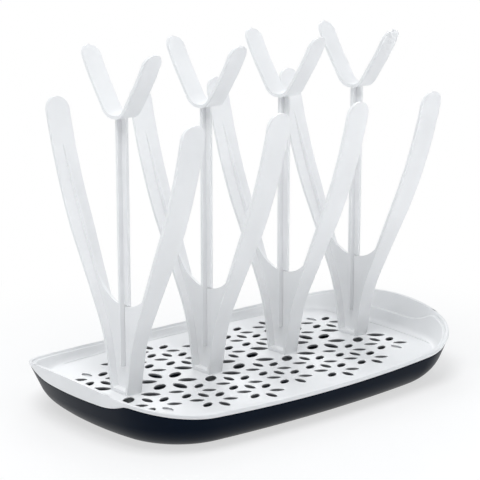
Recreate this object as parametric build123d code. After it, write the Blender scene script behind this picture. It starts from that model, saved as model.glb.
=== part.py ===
from build123d import *
import os
from math import cos, pi, radians, sin

# Bottle drying rack: a drip tray, a drain tray that lies in it, and a row of plug-in trees
# that each hold two bottles on their arms and a small part on the fork of their mast.
# X runs along the row, Y to the back, Z up. The pieces are drawn with zero at the top of the deck,
# and stand on the surface at Z zero once they are placed.

# Trees
tree_pitch = 80.0
tree_count = 4

# Outline of both trays at the top of the handles and at the base: the row of trees sets their length
rim_end_margin = 57.0
rim_half_width = 109.0
rim_corner_radius = 60.5
end_flare = 19.7
side_flare = 10.6
base_corner_radius = 61.7
side_arc_angle = 5.8
end_arc_angle = 9.7

# Heights from the deck
handle_height = 24.0
base_depth = 23.0
rim_arch_radius = 304.0
rim_band = 4.2

# Grip scoop under each handle, and the dip of the ledge inside it
scoop_flat_half_width = 33.0
scoop_floor_height = 7.4
scoop_end_radius = 60.0
dip_flat_half_width = 20.0
dip_floor_height = 9.6
dip_end_radius = 48.0
crest_radius = 12.0

# Drip tray
drip_wall = 2.4
drip_floor = 2.4
drip_edge_radius = 19.0
stand_ring_width = 6.0
stand_ring_height = 1.2

# Drain tray
tray_clearance = 0.3
rim_wall = 2.8
ledge_thickness = 2.0
deck_thickness = 2.4
bowl_cove_radius = 3.0
bowl_top_inset = 4.6
bowl_wall = 2.0
bowl_clearance = 1.5
panel_end_margin = 7.8
panel_side_margin = 4.1
panel_corner_radius = 27.0
groove_width = 0.9
groove_depth = 0.5

# Drain holes: petals in flowers of six, small ones and large ones
petal_side_count = 10
petal_length = 11.4
petal_width = 6.6
flower_radius = 12.75
large_petal_length = 15.0
large_petal_width = 8.9
large_flower_radius = 15.8
tree_column_start = 39.6
gap_column_start = 31.8
middle_column_start = 28.2
foot_petal_x = 10.5
foot_petal_y = 17.3
foot_petal_angle = 40.0
blind_petal_depth = 0.8

# Sockets under the deck
plug_length = 16.0
plug_width = 10.0
plug_depth = 9.0
plug_corner_radius = 2.0
plug_clearance = 0.2
socket_wall = 1.6
socket_drain_height = 4.0
socket_drain_width = 5.0

# Arms of a tree, seen from the end of the row: the middle of the strap and the bends between its runs
arm_tip_height = 218.0
arm_line = [(9.1, 0), (16.7, 43.3), (75.8, 166), (88.0, 227)]
arm_bends = [120.0, 430.0]
arm_thickness = 2.4
arm_foot_half_width = 6.8
arm_half_width = 10.4
arm_taper_height = 120.0
foot_height = 3.0
foot_half_length = 10.4

# Stiffening rib and web between the arms
web_thickness = 2.4
web_top = 68.4
rib_line = [(0, web_top), (24.7, web_top), (96.0, 228)]
rib_bend = 37.0
slot_bottom = 21.0
slot_clearance = 0.2

# Mast with its fork
mast_half_width = 5.2
mast_half_depth = 6.2
mast_thickness = 2.4
mast_rib_clearance = 1.0
fork_bottom = 213.2
fork_tip_height = 262.5
fork_line = [(0, fork_bottom), (8.8, fork_bottom), (31.4, 245), (44.0, 268)]
fork_bends = [15.0, 150.0]
fork_thickness = 2.4
fork_half_width = 8.0

# Bands that round a lower edge of the trays
edge_band_count = 4

# Worked out from the sizes above
envelope_height = handle_height + base_depth
drip_floor_top = drip_floor + stand_ring_height - base_depth
tree_places = [(i - (tree_count - 1) / 2) * tree_pitch for i in range(tree_count)]
row_step = 2 * flower_radius
rim_half_length = (tree_count - 1) / 2 * tree_pitch + rim_end_margin
base_half_length = rim_half_length - end_flare
base_half_width = rim_half_width - side_flare
beyond = 2 * rim_half_length


def oval(half_length, half_width, corner_radius):
    """Oval of eight tangent arcs. Its arcs keep their angles, so a smaller oval is a true parallel curve."""
    side, end = radians(side_arc_angle), radians(end_arc_angle)
    run, depth = half_length - corner_radius, half_width - corner_radius
    scale = sin(side) * sin(end) - (1 - cos(side)) * (1 - cos(end))
    side_centre = (run * sin(end) - depth * (1 - cos(end))) / scale
    end_centre = (depth * sin(side) - run * (1 - cos(side))) / scale
    x = side_centre * sin(side)
    y = end_centre * sin(end)
    side_end = (x + corner_radius * sin(side), y + corner_radius * cos(side))
    middle = radians(90 - side_arc_angle + end_arc_angle) / 2
    corner = (x + corner_radius * cos(middle), y + corner_radius * sin(middle))
    end_start = (x + corner_radius * cos(end), y + corner_radius * sin(end))
    quarter_side = ThreePointArc((-side_end[0], side_end[1]), (0, half_width), side_end)
    quarter_corner = ThreePointArc(side_end, corner, end_start)
    quarter_end = ThreePointArc(end_start, (half_length, 0), (end_start[0], -end_start[1]))
    top = Curve() + [quarter_side, quarter_corner, mirror(quarter_corner, Plane.YZ)]
    right = Curve() + [quarter_end]
    outline = top + mirror(top, Plane.XZ) + right + mirror(right, Plane.YZ)
    return make_face(outline.edges())


def between(low, high, height):
    """Height, half length, half width and corner radius of a flared wall at a height between two outlines."""
    part = (height - low[0]) / (high[0] - low[0])
    return [a + (b - a) * part for a, b in zip(low, high)]


def envelope(height, inset=0.0):
    """Outline of the trays' outer walls at a height over the deck, drawn in by the inset."""
    base = (-base_depth, base_half_length, base_half_width, base_corner_radius)
    rim = (handle_height, rim_half_length, rim_half_width, rim_corner_radius)
    level, length, width, radius = between(base, rim, height)
    return level, length - inset, width - inset, radius - inset


def flared(low, high, edge_radius=0.0):
    """Body lofted from a low outline to a high one, with its lower edge rounded in narrow bands."""
    sections = [high]
    bands = edge_band_count if edge_radius else 0
    for i in range(bands + 1):
        angle = i * pi / 2 / edge_band_count
        height = low[0] + edge_radius * (1 - sin(angle))
        level, length, width, radius = between(low, high, height)
        inset = edge_radius * (1 - cos(angle))
        sections.append((level, length - inset, width - inset, radius - inset))
    faces = [Pos(0, 0, level) * oval(length, width, radius) for level, length, width, radius in sections]
    return loft(faces, ruled=True)


def below_arch(drop):
    """Everything under the arched rim line, lowered by the drop, as seen from the end of the row."""
    arch = Pos(0, handle_height - rim_arch_radius - drop) * Circle(rim_arch_radius)
    window = Pos(0, handle_height / 2) * Rectangle(3 * rim_half_width, envelope_height * 2)
    return arch & window


def below_dipped_arch(drop, flat_half_width, floor_height, end_radius):
    """Everything under the lowered arch with a smooth dip in its middle, running through the tray."""
    half_width = flat_half_width + end_radius
    dip = RectangleRounded(2 * half_width, 2 * half_width, end_radius)
    profile = below_arch(drop) - Pos(0, floor_height + half_width) * dip
    crests = profile.vertices().filter_by(lambda corner: floor_height < corner.Y)
    return extrude(Plane.YZ * fillet(crests, crest_radius), beyond, both=True)


def below_seat(lift=0.0):
    """Everything under the line where the drain tray seats on the drip tray."""
    floor = scoop_floor_height + lift
    return below_dipped_arch(rim_band - lift, scoop_flat_half_width, floor, scoop_end_radius)


def below_ledge():
    """Everything under the ledge inside the rim."""
    drop = rim_band - ledge_thickness
    return below_dipped_arch(drop, dip_flat_half_width, dip_floor_height, dip_end_radius)


def drip_tray():
    """Dark outer tray with a rounded foot edge, scooped ends and a standing ring under its floor."""
    body = flared(envelope(-base_depth), envelope(handle_height), drip_edge_radius) & below_seat()
    top = envelope(handle_height, drip_wall)
    cavity = flared(envelope(drip_floor_top, drip_wall), top, drip_edge_radius - drip_wall)
    level, length, width, radius = envelope(-base_depth, drip_edge_radius + stand_ring_width)
    recess = extrude(Pos(0, 0, level) * oval(length, width, radius), stand_ring_height)
    return body - cavity - recess


def petal_shape(length, width):
    """Petal with its long axis along X: an ellipse in a few straight runs, because the deck has so many."""
    turns = [2 * pi * i / petal_side_count for i in range(petal_side_count)]
    return make_face(Polyline(*[(length / 2 * cos(a), width / 2 * sin(a)) for a in turns], close=True))


def petals(column, row, radius, angles, petal):
    """Petals of one flower, each with its long axis through the flower's middle."""
    return [Pos(column, row) * Rot(0, 0, angle) * Pos(radius, 0) * petal for angle in angles]


def flower_chain(column, start, count, whole_first):
    """Small flowers in a row towards the back. Each one shares the petal between it and the last."""
    petal = petal_shape(petal_length, petal_width)
    chain = []
    for i in range(count):
        whole = i == 0 and whole_first
        angles = (30, 90, 150, 210, 270, 330) if whole else (30, 90, 150, 210, 330)
        chain += petals(column, start + i * row_step, flower_radius, angles, petal)
    return chain


def drain_holes():
    """All through holes of the deck, and the shallow blind petals beside the end trees."""
    large = petal_shape(large_petal_length, large_petal_width)
    small = petal_shape(petal_length, petal_width)
    gaps = [(a + b) / 2 for a, b in zip(tree_places, tree_places[1:])]
    back, across, blind = [], [], []
    for column in tree_places:
        at_end = column in (tree_places[0], tree_places[-1])
        chain = flower_chain(column, tree_column_start, 1 if at_end else 2, True)
        if at_end:
            outer = tree_column_start + flower_radius
            chain = [hole for hole in chain if abs(hole.center().Y - outer) > petal_width / 2]
            blind.append(Pos(column, outer) * Rot(0, 0, 90) * small)
        back += chain
        for side in (-1, 1):
            turn = Rot(0, 0, side * foot_petal_angle)
            back.append(Pos(column + side * foot_petal_x, foot_petal_y) * turn * large)
    for column in gaps:
        central = abs(column) < tree_pitch / 4
        start = middle_column_start if central else gap_column_start
        back += flower_chain(column, start, 2, central)
        angles = (30, 150) if central else (30, 90, 150)
        back += petals(column, 0, large_flower_radius, angles, large)
    holes = Sketch() + back
    blind_holes = Sketch() + blind
    return holes + mirror(holes, Plane.XZ), blind_holes + mirror(blind_holes, Plane.XZ)


def drain_tray():
    """White perforated tray: a shallow bowl, a ledge over the drip tray's edge and an arched rim."""
    deck = envelope(0, drip_wall + bowl_clearance + bowl_wall)
    bowl_foot = envelope(0, drip_wall + bowl_clearance)
    bowl = flared((-deck_thickness, *bowl_foot[1:]), envelope(handle_height, drip_wall + tray_clearance))
    bowl = bowl & below_ledge()
    rim = flared(envelope(0), envelope(handle_height)) & extrude(Plane.YZ * below_arch(0), beyond, both=True)
    rim = rim - below_seat(tray_clearance)
    hollow = flared(deck, envelope(handle_height, bowl_top_inset), bowl_cove_radius)
    above_ledge = flared(envelope(0, rim_wall), envelope(handle_height, rim_wall)) - below_ledge()
    tray = bowl + rim - hollow - above_ledge

    panel_size = (deck[1] - panel_end_margin, deck[2] - panel_side_margin, panel_corner_radius)
    panel = oval(*panel_size)
    inner = oval(*[size - groove_width for size in panel_size])
    tray -= extrude(panel - inner, -groove_depth)
    holes, blind = drain_holes()
    tray -= extrude(holes, -deck_thickness)
    tray -= extrude(blind, -blind_petal_depth)
    return tray + sockets() - socket_bores()


def sockets():
    """Posts under the deck that stand on the drip tray's floor and take the trees' plugs."""
    outer = RectangleRounded(
        plug_width + 2 * (plug_clearance + socket_wall),
        plug_length + 2 * (plug_clearance + socket_wall),
        plug_corner_radius + plug_clearance + socket_wall,
    )
    height = -deck_thickness - drip_floor_top
    posts = [Pos(x, 0, drip_floor_top) * extrude(outer, height) for x in tree_places]
    drain = Box(plug_width * 2, socket_drain_width, socket_drain_height * 2)
    return Part() + posts - [Pos(x, 0, drip_floor_top) * drain for x in tree_places]


def socket_bores():
    """Holes that take the plugs, from the deck down through the posts."""
    bore = RectangleRounded(
        plug_width + 2 * plug_clearance, plug_length + 2 * plug_clearance, plug_corner_radius + plug_clearance
    )
    return Part() + [Pos(x, 0, drip_floor_top) * extrude(bore, -drip_floor_top) for x in tree_places]


def strap(line, thickness, half_outline):
    """Bent strap: a ribbon seen from the end of the row, crossed with its outline seen from the front."""
    side_view = Plane.YZ * trace(line, thickness)
    front_view = Plane.XZ * make_face(half_outline.edges() + mirror(half_outline, Plane.YZ).edges())
    ribbon = extrude(side_view, 3 * arm_half_width, both=True)
    return ribbon & extrude(front_view, -beyond / 2)


def arm_outline():
    """Right half of an arm's outline from the front: narrow foot, wide middle, round tip."""
    shoulder = arm_tip_height - arm_half_width
    return Curve() + [
        Line((0, 0), (arm_foot_half_width, 0)),
        TangentArc((arm_half_width, arm_taper_height), (arm_foot_half_width, 0), tangent=(0, -1)),
        Line((arm_half_width, arm_taper_height), (arm_half_width, shoulder)),
        CenterArc((0, shoulder), arm_half_width, 0, 90),
    ]


def fork_outline():
    """Right half of a fork's prong from the front, with its round tip."""
    shoulder = fork_tip_height - fork_half_width
    low = fork_bottom - fork_thickness
    return Curve() + [
        Line((0, low), (fork_half_width, low)),
        Line((fork_half_width, low), (fork_half_width, shoulder)),
        CenterArc((0, shoulder), fork_half_width, 0, 90),
    ]


def support_arms():
    """One tree's pair of arms, their ribs and web, and the plug that holds them in the deck."""
    middle = FilletPolyline(*arm_line, radius=arm_bends)
    arm = strap(middle, arm_thickness, arm_outline())
    tip = arm_line[-1]
    inside = make_face([*middle.edges(), *Polyline(tip, (0, tip[1]), (0, 0), arm_line[0]).edges()])
    edge = FilletPolyline(*rib_line, radius=rib_bend)
    top = rib_line[-1]
    above = make_face([*edge.edges(), *Polyline(top, (0, top[1]), rib_line[0]).edges()])
    web = extrude(Plane.YZ * (inside - above), web_thickness / 2, both=True)
    half = arm + web
    foot = Box(2 * arm_foot_half_width, 2 * foot_half_length, foot_height, align=(Align.CENTER, Align.CENTER, Align.MIN))
    plug_profile = RectangleRounded(plug_width, plug_length, plug_corner_radius)
    plug = extrude(plug_profile, -plug_depth)
    slot_width = mast_thickness + 2 * slot_clearance
    slot = Box(4 * web_thickness, slot_width, web_top, align=(Align.CENTER, Align.CENTER, Align.MIN))
    return half + mirror(half, Plane.XZ) + foot + plug - Pos(0, 0, slot_bottom) * slot


def support_mast():
    """One tree's mast, with a plate that slides into the web's slot and a fork on its top."""
    prong = strap(FilletPolyline(*fork_line, radius=fork_bends), fork_thickness, fork_outline())
    plate = Pos(0, 0, slot_bottom) * extrude(
        Rectangle(2 * mast_half_width, mast_thickness), fork_bottom - slot_bottom
    )
    rib_start = web_top + mast_rib_clearance
    ribs = Pos(0, 0, rib_start) * extrude(
        Rectangle(mast_thickness, 2 * mast_half_depth), fork_bottom + fork_thickness - rib_start
    )
    return plate + ribs + prong + mirror(prong, Plane.XZ)


os.makedirs("parts", exist_ok=True)
export_step(Pos(0, 0, base_depth) * drip_tray(), "parts/drip_tray.step")
export_step(Pos(0, 0, base_depth) * drain_tray(), "parts/drain_tray.step")
arms = support_arms()
mast = support_mast()
for number, place in enumerate(tree_places, start=1):
    export_step(Pos(place, 0, base_depth) * arms, f"parts/support_arms_{number}.step")
    export_step(Pos(place, 0, base_depth) * mast, f"parts/support_mast_{number}.step")
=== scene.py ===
from math import atan2, ceil, cos, pi, radians, sin, sqrt, tan

import bmesh
import bpy
from mathutils import Matrix, Vector


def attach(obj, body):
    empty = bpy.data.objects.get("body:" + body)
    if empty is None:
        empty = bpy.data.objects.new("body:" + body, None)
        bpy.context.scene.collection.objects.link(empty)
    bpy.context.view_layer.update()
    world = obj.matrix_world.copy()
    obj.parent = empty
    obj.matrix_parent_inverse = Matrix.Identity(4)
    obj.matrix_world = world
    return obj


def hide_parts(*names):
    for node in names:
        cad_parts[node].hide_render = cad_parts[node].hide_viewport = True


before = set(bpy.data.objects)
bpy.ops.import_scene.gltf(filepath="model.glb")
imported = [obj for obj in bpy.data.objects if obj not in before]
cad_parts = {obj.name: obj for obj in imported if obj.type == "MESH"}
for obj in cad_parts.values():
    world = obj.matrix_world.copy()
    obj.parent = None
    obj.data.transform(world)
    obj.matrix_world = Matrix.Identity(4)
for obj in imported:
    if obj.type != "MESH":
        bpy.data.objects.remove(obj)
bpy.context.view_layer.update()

MM = 0.001
scene = bpy.context.scene
scene.view_settings.view_transform = "Standard"

# The camera: it stands before the left half of the rack, a little above the tips of the arms,
# and looks down along the row.
photo_width = 480
focal_length_px = 1688.8
camera_turn, camera_tilt = radians(40.085), radians(13.847)

camera_data = bpy.data.cameras.new("camera")
camera_data.sensor_width = 36
camera_data.lens = focal_length_px / photo_width * camera_data.sensor_width
camera_data.clip_start, camera_data.clip_end = 0.05, 40
camera = bpy.data.objects.new("camera", camera_data)
camera.location = (-0.8449, -0.9968, 0.4455)
camera.rotation_euler = (pi / 2 - camera_tilt, 0, -camera_turn)
scene.collection.objects.link(camera)
scene.camera = camera

# The studio: a white floor that keeps a soft shadow, a pale room, and three soft lamps.
# What the camera, gloss and glass see of the floor and the room is nearly white.
floor_half_width = 6.0
floor_white = (0.93, 0.93, 0.935, 1)
floor_glow_share = 0.62
shadow_reach, open_floor = 0.17, 0.40

floor_mesh = bpy.data.meshes.new("floor")
bm = bmesh.new()
bmesh.ops.create_grid(bm, x_segments=1, y_segments=1, size=floor_half_width)
bm.to_mesh(floor_mesh)
bm.free()
floor = bpy.data.objects.new("floor", floor_mesh)
scene.collection.objects.link(floor)


def seen_share(nodes, links):
    """1 for camera, glossy and transmission rays, 0 for the rays that light the object."""
    path = nodes.new("ShaderNodeLightPath")
    first = nodes.new("ShaderNodeMath")
    first.operation = "MAXIMUM"
    links.new(path.outputs["Is Camera Ray"], first.inputs[0])
    links.new(path.outputs["Is Glossy Ray"], first.inputs[1])
    second = nodes.new("ShaderNodeMath")
    second.operation = "MAXIMUM"
    links.new(first.outputs[0], second.inputs[0])
    links.new(path.outputs["Is Transmission Ray"], second.inputs[1])
    return second.outputs[0]


floor_material = bpy.data.materials.new("white_floor")
floor_material.use_nodes = True
nodes, links = floor_material.node_tree.nodes, floor_material.node_tree.links
nodes.clear()
paint = nodes.new("ShaderNodeBsdfDiffuse")
paint.inputs["Color"].default_value = floor_white
glow = nodes.new("ShaderNodeEmission")
glow.inputs["Color"].default_value = (1, 1, 1, 1)
distance = nodes.new("ShaderNodeVectorMath")
distance.operation = "LENGTH"
links.new(nodes.new("ShaderNodeTexCoord").outputs["Object"], distance.inputs[0])
whiter = nodes.new("ShaderNodeMapRange")
whiter.interpolation_type = "SMOOTHSTEP"
whiter.inputs["From Min"].default_value, whiter.inputs["From Max"].default_value = shadow_reach, open_floor
whiter.inputs["To Min"].default_value, whiter.inputs["To Max"].default_value = floor_glow_share, 1
links.new(distance.outputs["Value"], whiter.inputs["Value"])
share = nodes.new("ShaderNodeMath")
share.operation = "MULTIPLY"
links.new(seen_share(nodes, links), share.inputs[0])
links.new(whiter.outputs["Result"], share.inputs[1])
mix = nodes.new("ShaderNodeMixShader")
links.new(share.outputs[0], mix.inputs[0])
links.new(paint.outputs[0], mix.inputs[1])
links.new(glow.outputs[0], mix.inputs[2])
links.new(mix.outputs[0], nodes.new("ShaderNodeOutputMaterial").inputs["Surface"])
floor_mesh.materials.append(floor_material)

room = bpy.data.worlds.new("pale_room")
scene.world = room
room.use_nodes = True
nodes, links = room.node_tree.nodes, room.node_tree.links
nodes.clear()
room_light = nodes.new("ShaderNodeBackground")
room_light.inputs["Color"].default_value = (0.90, 0.95, 1.0, 1)
room_light.inputs["Strength"].default_value = 0.40
room_seen = nodes.new("ShaderNodeBackground")
room_seen.inputs["Color"].default_value = (1, 1, 1, 1)
path = nodes.new("ShaderNodeLightPath")
mix = nodes.new("ShaderNodeMixShader")
links.new(path.outputs["Is Camera Ray"], mix.inputs[0])
links.new(room_light.outputs[0], mix.inputs[1])
links.new(room_seen.outputs[0], mix.inputs[2])
links.new(mix.outputs[0], nodes.new("ShaderNodeOutputWorld").inputs["Surface"])

for name, size, spread, energy, place, target in (
    ("key_lamp", 0.8, 180, 14.5, (-0.6, -0.3, 1.5), (0, 0, 0.08)),
    ("front_lamp", 0.7, 180, 5.0, (1.0, -1.5, 0.55), (0, 0, 0.08)),
    ("side_lamp", 0.7, 180, 2.8, (-1.7, 0.3, 0.45), (0, 0, 0.08)),
    ("back_lamp", 1.0, 180, 9.0, (0.9, 1.3, 1.2), (0, 0, 0.08)),
    ("floor_lamp", 0.5, 70, 4.0, (0.25, -0.8, 0.7), (0.25, -0.8, 0)),
):
    lamp_data = bpy.data.lights.new(name, "AREA")
    lamp_data.size = size
    lamp_data.energy = energy
    lamp_data.spread = radians(spread)
    lamp = bpy.data.objects.new(name, lamp_data)
    lamp.location = place
    aim = Vector(target) - Vector(place)
    lamp.rotation_euler = aim.to_track_quat("-Z", "Y").to_euler()
    scene.collection.objects.link(lamp)


# The drip tray: a deep dark tray, moulded in one piece, on which everything else stands.
# Its rounded foot edge has a shallow recess inside it, so the tray stands on a ring,
# and its top edge is the seat for the white tray, scooped at both ends for the hands.
deck_height = 23.0 * MM
base_outline = (-23.0 * MM, 157.3 * MM, 98.4 * MM, 61.7 * MM)
rim_outline = (24.0 * MM, 177.0 * MM, 109.0 * MM, 60.5 * MM)
side_arc, end_arc = radians(5.8), radians(9.7)
rim_arch_radius, rim_band = 304.0 * MM, 4.2 * MM
drip_wall, drip_floor_top = 2.4 * MM, -19.4 * MM
foot_edge_radius, foot_edge_steps = 19.0 * MM, 12
stand_ring_width, stand_ring_height = 6.0 * MM, 1.2 * MM
navy = (0.0012, 0.0042, 0.0115)


def inset_outline(outline, inset):
    """Level, half length, half width and corner radius of an outline drawn in by the inset."""
    return outline[0], *[size - inset for size in outline[1:]]


def outline_at(low, high, level, inset=0.0):
    """Outline of a flared wall between two outlines at a level."""
    part = (level - low[0]) / (high[0] - low[0])
    return inset_outline([a + (b - a) * part for a, b in zip(low, high)], inset)


def oval_ring(bm, outline):
    """Oval of eight tangent arcs, spun clockwise from the middle of its back. Gives its vertices."""
    level, half_length, half_width, corner_radius = outline
    run, depth = half_length - corner_radius, half_width - corner_radius
    scale = sin(side_arc) * sin(end_arc) - (1 - cos(side_arc)) * (1 - cos(end_arc))
    side_more = (run * sin(end_arc) - depth * (1 - cos(end_arc))) / scale
    end_more = (depth * sin(side_arc) - run * (1 - cos(side_arc))) / scale
    corner_x, corner_y = side_more * sin(side_arc), end_more * sin(end_arc)
    side_y, end_x = depth - side_more, run - end_more
    corner_arc = pi / 2 - side_arc - end_arc
    first = len(bm.verts)
    start = last = bm.verts.new((0, half_width, level))
    for centre, angle, steps in (
        ((0, side_y), side_arc, 14),
        ((corner_x, corner_y), corner_arc, 18),
        ((end_x, 0), 2 * end_arc, 20),
        ((corner_x, -corner_y), corner_arc, 18),
        ((0, -side_y), 2 * side_arc, 28),
        ((-corner_x, -corner_y), corner_arc, 18),
        ((-end_x, 0), 2 * end_arc, 20),
        ((-corner_x, corner_y), corner_arc, 18),
        ((0, side_y), side_arc * 13 / 14, 13),
    ):
        spun = bmesh.ops.spin(
            bm, geom=[last], cent=(*centre, level), axis=(0, 0, -1), angle=angle, steps=steps, use_merge=False
        )
        last = spun["geom_last"][0]
    bm.edges.new((last, start))
    bm.verts.ensure_lookup_table()
    return bm.verts[first:]


def wall_ring(bm, low, high, height_at):
    """Ring round the flared wall between two outlines, at the height that the function gives over y."""
    ring, upper = oval_ring(bm, low), oval_ring(bm, high)
    for vert, above in zip(ring, upper):
        foot = vert.co.copy()
        for _ in range(8):
            part = (height_at(vert.co.y) - low[0]) / (high[0] - low[0])
            vert.co = foot.lerp(above.co, part)
    return ring


def ring_edges(ring):
    """Edges that run round a ring of vertices."""
    inside = set(ring)
    return list({edge for vert in ring for edge in vert.link_edges if edge.other_vert(vert) in inside})


def skin(bm, rings):
    """Joins each ring to the next with a band of faces. The bridge operator twists level rings."""
    for ring, following in zip(rings, rings[1:]):
        for index, vert in enumerate(ring):
            bm.faces.new((ring[index - 1], vert, following[index], following[index - 1]))


def soften(bm, edges, width, segments=3):
    """Rounds sharp edges, as a mould does."""
    bmesh.ops.bevel(
        bm, geom=edges, offset=width, offset_type="OFFSET", segments=segments, profile=0.5,
        affect="EDGES", material=-1, clamp_overlap=True,
    )


def arch_height(y, drop=0.0):
    """Height of the rim's arch, seen from the end of the row, lowered by the drop."""
    return rim_outline[0] - drop - rim_arch_radius + sqrt(rim_arch_radius**2 - y**2)


def dipped_height(y, drop, flat_half_width, floor_height, end_radius, crest):
    """Height of the lowered arch with a smooth dip in its middle and eased crests beside it."""
    across = min(max(abs(y) - flat_half_width, 0), end_radius)
    dip = floor_height + end_radius - sqrt(end_radius**2 - across**2)
    arch = arch_height(y, drop)
    blend = min(max(0.5 + 0.5 * (arch - dip) / crest, 0), 1)
    return arch + (dip - arch) * blend - crest * blend * (1 - blend)


def seat_height(y, lift=0.0):
    """Height of the line where the white tray seats on the dark one."""
    return dipped_height(y, rim_band - lift, 33.0 * MM, 7.4 * MM + lift, 60.0 * MM, 2.75 * MM)


def moulded_plastic(name, colour, roughness, shine, shine_tint):
    """Moulded plastic: one colour with faint cloudiness, a fine surface grain and uneven gloss."""
    material = bpy.data.materials.new(name)
    material.use_nodes = True
    nodes, links = material.node_tree.nodes, material.node_tree.links
    shader = nodes["Principled BSDF"]
    shader.inputs["Specular IOR Level"].default_value = shine
    shader.inputs["Specular Tint"].default_value = (*shine_tint, 1)
    place = nodes.new("ShaderNodeTexCoord").outputs["Object"]
    cloud = nodes.new("ShaderNodeTexNoise")
    cloud.inputs["Scale"].default_value = 22
    cloud.inputs["Detail"].default_value = 3
    links.new(place, cloud.inputs["Vector"])
    tint = nodes.new("ShaderNodeValToRGB")
    tint.color_ramp.elements[0].position, tint.color_ramp.elements[1].position = 0.35, 0.65
    tint.color_ramp.elements[0].color = (*[c * 0.96 for c in colour], 1)
    tint.color_ramp.elements[1].color = (*colour, 1)
    links.new(cloud.outputs["Fac"], tint.inputs["Fac"])
    links.new(tint.outputs["Color"], shader.inputs["Base Color"])
    gloss = nodes.new("ShaderNodeMapRange")
    gloss.inputs["From Min"].default_value, gloss.inputs["From Max"].default_value = 0.3, 0.7
    gloss.inputs["To Min"].default_value = roughness - 0.03
    gloss.inputs["To Max"].default_value = roughness + 0.03
    links.new(cloud.outputs["Fac"], gloss.inputs["Value"])
    links.new(gloss.outputs["Result"], shader.inputs["Roughness"])
    grain = nodes.new("ShaderNodeTexNoise")
    grain.inputs["Scale"].default_value = 1600
    grain.inputs["Detail"].default_value = 2
    links.new(place, grain.inputs["Vector"])
    bump = nodes.new("ShaderNodeBump")
    bump.inputs["Strength"].default_value = 0.5
    bump.inputs["Distance"].default_value = 0.01 * MM
    links.new(grain.outputs["Fac"], bump.inputs["Height"])
    links.new(bump.outputs["Normal"], shader.inputs["Normal"])
    return material


def finish_piece(name, bm, material, slot, place, *nodes_replaced):
    """Makes a bmesh a shown piece at its place, with smooth shading up to sharp edges."""
    loose = [vert for vert in bm.verts if not vert.link_faces]
    bmesh.ops.delete(bm, geom=loose, context="VERTS")
    bmesh.ops.remove_doubles(bm, verts=bm.verts, dist=0.002 * MM)
    bmesh.ops.recalc_face_normals(bm, faces=bm.faces)
    bmesh.ops.translate(bm, verts=bm.verts, vec=place)
    mesh = bpy.data.meshes.new(name)
    bm.to_mesh(mesh)
    bm.free()
    mesh.materials.append(material)
    mesh.shade_smooth()
    mesh.set_sharp_from_angle(angle=radians(40))
    piece = bpy.data.objects.new(name, mesh)
    scene.collection.objects.link(piece)
    weighted = piece.modifiers.new("even_shading", "WEIGHTED_NORMAL")
    weighted.keep_sharp = True
    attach(piece, "root")
    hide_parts(*nodes_replaced)
    return piece


navy_finish = moulded_plastic("navy_satin", navy, 0.32, 0.06, (0.55, 0.75, 1.0))
bm = bmesh.new()
ring_foot = inset_outline(base_outline, foot_edge_radius + stand_ring_width)
recess = [oval_ring(bm, (ring_foot[0] + rise, *ring_foot[1:])) for rise in (stand_ring_height, 0)]
outside = []
for step in range(foot_edge_steps + 1):
    angle = pi / 2 * (1 - step / foot_edge_steps)
    level = base_outline[0] + foot_edge_radius * (1 - sin(angle))
    inset = foot_edge_radius * (1 - cos(angle))
    outside.append(oval_ring(bm, outline_at(base_outline, rim_outline, level, inset)))
seat_edge = wall_ring(bm, base_outline, rim_outline, seat_height)
inner_low = inset_outline(base_outline, drip_wall)
inner_high = inset_outline(rim_outline, drip_wall)
inner_edge = wall_ring(bm, inner_low, inner_high, seat_height)
inside = []
cove_radius = foot_edge_radius - drip_wall
for step in range(foot_edge_steps + 1):
    angle = pi / 2 * step / foot_edge_steps
    level = drip_floor_top + cove_radius * (1 - sin(angle))
    inset = cove_radius * (1 - cos(angle))
    inside.append(oval_ring(bm, outline_at(inner_low, inner_high, level, inset)))
skin(bm, [*recess, *outside, seat_edge, inner_edge, *inside])
for ring in (recess[0], inside[-1]):
    bmesh.ops.edgeloop_fill(bm, edges=ring_edges(ring))
soften(bm, ring_edges(recess[1]) + ring_edges(seat_edge) + ring_edges(inner_edge), 0.5 * MM)
finish_piece("drip_tray_shell", bm, navy_finish, "navy_plastic", (0, 0, deck_height), "drip_tray")

# The drain tray: a white tray that hangs by its rim on the dark one. It has a shallow bowl, a ledge,
# an arched rim whose ends are grips, and a deck pierced with petals in flowers for the water.
# The deck's pierced panel is set off by a fine groove, and four sockets hang under it.
deck_thickness, bowl_wall, bowl_clearance = 2.4 * MM, 2.0 * MM, 1.5 * MM
bowl_cove_radius, bowl_top_inset, rim_wall, tray_clearance = 3.0 * MM, 4.6 * MM, 2.8 * MM, 0.3 * MM
panel_end_margin, panel_side_margin, panel_corner_radius = 7.8 * MM, 4.1 * MM, 27.0 * MM
groove_width, groove_depth = 0.9 * MM, 0.5 * MM
tree_places = (-120.0 * MM, -40.0 * MM, 40.0 * MM, 120.0 * MM)
gap_places = (-80.0 * MM, 0.0, 80.0 * MM)
petal_size, flower_radius = (11.8 * MM, 6.3 * MM), 12.75 * MM
large_petal_size, large_flower_radius = (15.4 * MM, 8.6 * MM), 15.8 * MM
tree_chain_start, gap_chain_start, middle_chain_start = 39.6 * MM, 31.8 * MM, 28.2 * MM
petal_segments, petal_edge, petal_land, petal_relief = 20, 0.35 * MM, 0.7 * MM, 1.4 * MM
blind_petal_depth, blind_petal_relief = 2.0 * MM, 1.8 * MM
foot_petal_place, foot_petal_turn = (10.5 * MM, 17.3 * MM), 40
bore_half_size, bore_corner_radius, socket_wall = (5.2 * MM, 8.2 * MM), 2.2 * MM, 1.6 * MM
white = (0.85, 0.855, 0.862)


def ledge_height(y):
    """Height of the ledge inside the rim, which dips between the grips."""
    return dipped_height(y, 2.2 * MM, 20.0 * MM, 9.6 * MM, 48.0 * MM, 3.7 * MM)


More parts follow.
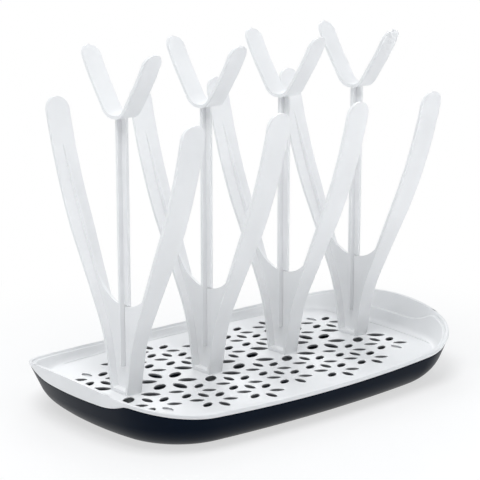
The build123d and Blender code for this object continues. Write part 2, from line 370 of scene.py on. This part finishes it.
def raised_seat_height(y):
    """Height of the white tray's seat, a fit clearance over the dark one's."""
    return seat_height(y, tray_clearance)


def add_petal(bm, size, place, turn, depth):
    """Petal-shaped hole with an eased upper edge, which widens under its land. A blind one has a bottom."""
    at = Matrix.Translation((*place, 0)) @ Matrix.Rotation(radians(turn), 4, "Z")
    blind = depth < deck_thickness
    rings = []
    steps = [(petal_edge, 0), (0.3 * petal_edge, 0.3 * petal_edge), (0, petal_edge)]
    steps += [(blind_petal_relief, depth)] if blind else [(0, petal_land), (petal_relief, depth)]
    for wider, down in steps:
        ring = bmesh.ops.create_circle(bm, segments=petal_segments, radius=1)["verts"]
        for vert in ring:
            vert.co.x *= size[0] / 2 + wider
            vert.co.y *= abs(vert.co.y) ** 0.25 * (size[1] / 2 + wider)
            vert.co.z = -down
        bmesh.ops.transform(bm, matrix=at, verts=ring)
        rings.append(ring)
    skin(bm, rings)
    if blind:
        bmesh.ops.edgeloop_fill(bm, edges=ring_edges(rings[-1]))


def rounded_ring(bm, half_size, corner_radius, level):
    """Ring of a rectangle with round corners, each spun step by step."""
    across, along = [size - corner_radius for size in half_size]
    ring = []
    for x, y, start in ((across, along, (0, 1)), (across, -along, (1, 0)), (-across, -along, (0, -1)), (-across, along, (-1, 0))):
        ring.append(bm.verts.new((x + start[0] * corner_radius, y + start[1] * corner_radius, level)))
        for _ in range(4):
            spun = bmesh.ops.spin(bm, geom=ring[-1:], cent=(x, y, level), axis=(0, 0, -1), angle=pi / 8, steps=1)
            ring.append(spun["geom_last"][0])
    return ring


white_finish = moulded_plastic("white_satin", white, 0.38, 0.45, (1, 1, 1))
bm = bmesh.new()
deck = outline_at(base_outline, rim_outline, 0, drip_wall + bowl_clearance + bowl_wall)
hollow_top = inset_outline(rim_outline, bowl_top_inset)
panel = (0, deck[1] - panel_end_margin, deck[2] - panel_side_margin, panel_corner_radius)
plate = inset_outline(panel, groove_width)
bowl_foot = (-deck_thickness, *outline_at(base_outline, rim_outline, 0, drip_wall + bowl_clearance)[1:])
surround = [
    oval_ring(bm, (-groove_depth, *plate[1:])),
    oval_ring(bm, (-groove_depth, *panel[1:])),
    oval_ring(bm, panel),
]
cove_steps = 5
for step in range(cove_steps + 1):
    angle = pi / 2 * (1 - step / cove_steps)
    level, inset = bowl_cove_radius * (1 - sin(angle)), bowl_cove_radius * (1 - cos(angle))
    surround.append(oval_ring(bm, outline_at(deck, hollow_top, level, inset)))
bowl_edge = wall_ring(bm, deck, hollow_top, ledge_height)
rim_root = wall_ring(bm, inset_outline(base_outline, rim_wall), inset_outline(rim_outline, rim_wall), ledge_height)
rim_inner = wall_ring(bm, inset_outline(base_outline, rim_wall), inset_outline(rim_outline, rim_wall), arch_height)
rim_outer = wall_ring(bm, base_outline, rim_outline, arch_height)
rim_foot = wall_ring(bm, base_outline, rim_outline, raised_seat_height)
bowl_back = wall_ring(bm, bowl_foot, inset_outline(rim_outline, drip_wall + tray_clearance), raised_seat_height)
under = [oval_ring(bm, bowl_foot), oval_ring(bm, (-deck_thickness, *plate[1:]))]
skin(bm, [*surround, bowl_edge, rim_root, rim_inner, rim_outer, rim_foot, bowl_back, *under])
soften(bm, ring_edges(rim_inner) + ring_edges(rim_outer), 0.9 * MM, 4)
soften(bm, ring_edges(bowl_edge), 0.9 * MM, 4)
soften(bm, ring_edges(rim_foot), 0.5 * MM)

plate_bm = bmesh.new()
skin(plate_bm, [oval_ring(plate_bm, plate), oval_ring(plate_bm, (-groove_depth, *plate[1:]))])
oval_ring(plate_bm, (-deck_thickness, *plate[1:]))


def flower(middle, radius, angles, size, depth=deck_thickness):
    """Petals round a middle, each with its long axis through it: size, place, turn and depth."""
    return [
        (size, (middle[0] + radius * cos(radians(a)), middle[1] + radius * sin(radians(a))), a, depth)
        for a in angles
    ]


first_angles, next_angles = (30, 90, 150, 210, 270, 330), (30, 90, 150, 210, 330)
row_step = 2 * flower_radius
back_half = []
for place in tree_places:
    middle = (place, tree_chain_start)
    if place in (tree_places[0], tree_places[-1]):
        back_half += flower(middle, flower_radius, (30, 150, 210, 270, 330), petal_size)
        back_half += flower(middle, flower_radius, (90,), petal_size, blind_petal_depth)
    else:
        back_half += flower(middle, flower_radius, first_angles, petal_size)
        back_half += flower((place, tree_chain_start + row_step), flower_radius, next_angles, petal_size)
    for side in (-1, 1):
        at = (place + side * foot_petal_place[0], foot_petal_place[1])
        back_half.append((large_petal_size, at, side * foot_petal_turn, deck_thickness))
for place in gap_places:
    central = place == 0
    start = middle_chain_start if central else gap_chain_start
    back_half += flower((place, start), flower_radius, first_angles if central else next_angles, petal_size)
    back_half += flower((place, start + row_step), flower_radius, next_angles, petal_size)
    large_angles = (30, 150) if central else (30, 90, 150)
    back_half += flower((place, 0), large_flower_radius, large_angles, large_petal_size)
for size, (x, y), turn, depth in back_half:
    add_petal(plate_bm, size, (x, y), turn, depth)
    add_petal(plate_bm, size, (x, -y), -turn, depth)
socket_half_size = [size + socket_wall for size in bore_half_size]
for place in tree_places:
    bore = (bore_half_size, bore_corner_radius)
    outside = (socket_half_size, bore_corner_radius + socket_wall)
    rings = []
    for (half_size, radius), level in (
        (bore, 0), (bore, drip_floor_top), (outside, drip_floor_top), (outside, -deck_thickness)
    ):
        rings.append(rounded_ring(plate_bm, half_size, radius, level))
        bmesh.ops.translate(plate_bm, vec=(place, 0, 0), verts=rings[-1])
    skin(plate_bm, rings)
for level in (0, -deck_thickness):
    open_edges = [
        edge for edge in plate_bm.edges
        if len(edge.link_faces) < 2 and all(abs(vert.co.z - level) < 0.001 * MM for vert in edge.verts)
    ]
    bmesh.ops.triangle_fill(plate_bm, use_beauty=False, use_dissolve=False, edges=open_edges, normal=(0, 0, 1))
plate_mesh = bpy.data.meshes.new("deck_plate")
plate_bm.to_mesh(plate_mesh)
plate_bm.free()
bm.from_mesh(plate_mesh)
finish_piece("drain_tray_shell", bm, white_finish, "white_plastic", (0, 0, deck_height), "drain_tray")

# The trees: white straps moulded flat on, one pair of arms a tree with ribs and a web between them.
# A tree's foot stands on the deck and its plug goes down into a socket. The mast slides into the web's slot.
arm_corners = ((9.1, 0), (16.7, 43.3), (75.8, 166), (88.0, 227))
arm_bend_radii, strap_thickness = (120.0, 430.0), 2.4 * MM
arm_foot_half_width, arm_half_width, arm_taper_height, arm_tip_height = 6.8 * MM, 10.4 * MM, 120 * MM, 218 * MM
rib_corners, rib_bend_radius, web_top = ((1.4, 68.4), (24.7, 68.4), (96.0, 228.0)), 37.0, 68.4 * MM
web_thickness, slot_half_width, slot_bottom = 2.4 * MM, 1.4 * MM, 21.0 * MM
foot_size, plug_half_size = (13.6 * MM, 20.8 * MM, 3.0 * MM), (5.0 * MM, 8.0 * MM)
plug_corner_radius, plug_depth = 2.0 * MM, 9.0 * MM
strap_edge, web_edge = 0.8 * MM, 0.35 * MM


def bent_line(corners, radii, longest_step):
    """Points along straight runs joined by arcs, drawn across and up in the plane of a tree."""
    corners = [Vector(corner) * MM for corner in corners]
    stops = [corners[0]]
    for before, corner, after, radius in zip(corners, corners[1:], corners[2:], radii):
        arriving, leaving = (corner - before).normalized(), (after - corner).normalized()
        turn = arriving.angle(leaving)
        reach = radius * MM * tan(turn / 2)
        side = Vector((-arriving.y, arriving.x)) * (1 if arriving.cross(leaving) > 0 else -1)
        centre = corner - arriving * reach + side * radius * MM
        steps = max(4, ceil(turn / radians(3)))
        for step in range(steps + 1):
            angle = turn * step / steps
            stops.append(centre - side * radius * MM * cos(angle) + arriving * radius * MM * sin(angle))
    stops.append(corners[-1])
    points = [stops[0]]
    for start, end in zip(stops, stops[1:]):
        steps = max(1, ceil((end - start).length / longest_step))
        points += [start.lerp(end, step / steps) for step in range(1, steps + 1)]
    return points


def cut_at_height(points, height):
    """The points up to a height, with a last one at that height."""
    below = [point for point in points if point.y < height - 1e-6]
    above = points[len(below)]
    part = (height - below[-1].y) / (above.y - below[-1].y)
    return [*below, below[-1].lerp(above, part)]


def sweep_strap(bm, path, thickness, half_width_at):
    """Strap whose cross-section is extruded from point to point, and then given its width at each height."""
    across = (path[1] - path[0]).normalized()
    normal = Vector((-across.y, across.x)) * thickness / 2
    corners = [(side, *(path[0] + normal * face)) for side, face in ((-1, -1), (1, -1), (1, 1), (-1, 1))]
    section = [bm.verts.new(corner) for corner in corners]
    made = list(section)
    face = bm.faces.new(section)
    heading = atan2(across.y, across.x)
    for index, (here, there) in enumerate(zip(path, path[1:])):
        ahead = path[index + 2] - here if index + 2 < len(path) else there - here
        turned = atan2(ahead.y, ahead.x)
        grown = bmesh.ops.extrude_face_region(bm, geom=[face])["geom"]
        if index and face.is_valid:
            bmesh.ops.delete(bm, geom=[face], context="FACES_ONLY")
        section = [part for part in grown if isinstance(part, bmesh.types.BMVert)]
        face = next(part for part in grown if isinstance(part, bmesh.types.BMFace))
        turn = Matrix.Rotation(turned - heading, 3, "X")
        bmesh.ops.rotate(bm, cent=(0, *here), matrix=turn, verts=section)
        bmesh.ops.translate(bm, vec=(0, *(there - here)), verts=section)
        heading = turned
        made += section
    for vert in made:
        vert.co.x *= half_width_at(vert.co.z)
    return made


def arm_width(height):
    """Half width of an arm: narrow at the foot, wide from the middle up, round at the tip."""
    if height < arm_taper_height:
        return arm_foot_half_width + (arm_half_width - arm_foot_half_width) * (max(height, 0) / arm_taper_height) ** 2
    over = max(height - (arm_tip_height - arm_half_width), 0)
    return sqrt(max(arm_half_width**2 - over**2, 0))


def round_tip(path, tip_height, radius, steps=8):
    """Adds points near a strap's tip, closer and closer, so that its round end stays smooth."""
    low = cut_at_height(path, tip_height - radius)
    for step in range(1, steps + 1):
        level = tip_height - radius + radius * sin(pi / 2 * step / steps)
        low.append(cut_at_height(path, level)[-1])
    return low


def sharp_edges(verts, smallest_angle):
    """Edges among the vertices at which two faces meet at more than an angle."""
    found = {edge for vert in verts for edge in vert.link_edges if len(edge.link_faces) == 2}
    return [edge for edge in found if edge.calc_face_angle() > smallest_angle]


def mirror_piece(bm):
    """Adds the other half of a tree across the row."""
    bmesh.ops.mirror(bm, geom=bm.verts[:] + bm.edges[:] + bm.faces[:], axis="Y", merge_dist=0)


def add_block(bm, size, centre, edge):
    """Block with eased edges."""
    block = bmesh.ops.create_cube(bm, size=1, matrix=Matrix.Translation(centre) @ Matrix.Diagonal((*size, 1)))
    soften(bm, list({e for vert in block["verts"] for e in vert.link_edges}), edge, 2)


def add_plate(bm, outline, thickness, edge):
    """Plate in the plane of a tree from its outline, with eased edges."""
    verts = [bm.verts.new((-thickness / 2, *point)) for point in outline]
    face = bm.faces.new(verts)
    grown = bmesh.ops.extrude_face_region(bm, geom=[face])["geom"]
    far = [part for part in grown if isinstance(part, bmesh.types.BMVert)]
    bmesh.ops.translate(bm, vec=(thickness, 0, 0), verts=far)
    rims = [e for e in sharp_edges(verts + far, radians(50)) if abs(e.verts[0].co.x - e.verts[1].co.x) < thickness / 2]
    soften(bm, rims, edge, 2)


arm_path = bent_line(arm_corners, arm_bend_radii, 8 * MM)
rib_path = bent_line(rib_corners, (rib_bend_radius,), 12 * MM)
web_arm_side = [point for point in arm_path if point.y < 196 * MM]
web_rib_side = [point for point in rib_path if point.y < 196 * MM]
for number, place in enumerate(tree_places, start=1):
    bm = bmesh.new()
    strap = sweep_strap(bm, round_tip(arm_path, arm_tip_height, arm_half_width), strap_thickness, arm_width)
    soften(bm, sharp_edges(strap, radians(50)), strap_edge)
    mirror_piece(bm)
    half_web = [*web_arm_side, *reversed(web_rib_side)]
    slot = [Vector((slot_half_width, slot_bottom))]
    right = half_web + slot
    left = [Vector((-point.x, point.y)) for point in reversed(right)]
    add_plate(bm, right + left, web_thickness, web_edge)
    add_block(bm, foot_size, (0, 0, foot_size[2] / 2), 0.5 * MM)
    plug = [rounded_ring(bm, plug_half_size, plug_corner_radius, level) for level in (0, -plug_depth)]
    skin(bm, plug)
    for ring in plug:
        bmesh.ops.edgeloop_fill(bm, edges=ring_edges(ring))
    finish_piece(f"tree_arms_{number}", bm, white_finish, "white_plastic", (place, 0, deck_height), f"support_arms_{number}")

# The masts: a plate that stands in the web's slot, crossed by a rib above the web,
# and a two-pronged fork on top, bent from one strap. Each is one moulding.
mast_half_width, mast_half_depth, mast_thickness, mast_rib_bottom = 5.2 * MM, 6.2 * MM, 2.4 * MM, 69.4 * MM
fork_corners = ((0, 213.2), (8.8, 213.2), (31.4, 245.0), (44.0, 268.0))
fork_bend_radii, fork_bottom, fork_tip_height, fork_half_width = (15.0, 150.0), 213.2 * MM, 262.5 * MM, 8.0 * MM


def fork_width(height):
    """Half width of a prong: even, with a round tip."""
    over = max(height - (fork_tip_height - fork_half_width), 0)
    return sqrt(max(fork_half_width**2 - over**2, 0))


fork_path = round_tip(bent_line(fork_corners, fork_bend_radii, 8 * MM), fork_tip_height, fork_half_width)
whole_fork = [Vector((-point.x, point.y)) for point in reversed(fork_path[1:])] + fork_path
for number, place in enumerate(tree_places, start=1):
    bm = bmesh.new()
    strap = sweep_strap(bm, whole_fork, strap_thickness, fork_width)
    soften(bm, sharp_edges(strap, radians(50)), strap_edge)
    plate_height = fork_bottom - slot_bottom
    plate_middle = (0, 0, slot_bottom + plate_height / 2)
    add_block(bm, (2 * mast_half_width, mast_thickness, plate_height), plate_middle, web_edge)
    rib_height = fork_bottom - mast_rib_bottom
    rib_middle = (0, 0, mast_rib_bottom + rib_height / 2)
    add_block(bm, (mast_thickness, 2 * mast_half_depth, rib_height), rib_middle, web_edge)
    finish_piece(f"tree_mast_{number}", bm, white_finish, "white_plastic", (place, 0, deck_height), f"support_mast_{number}")
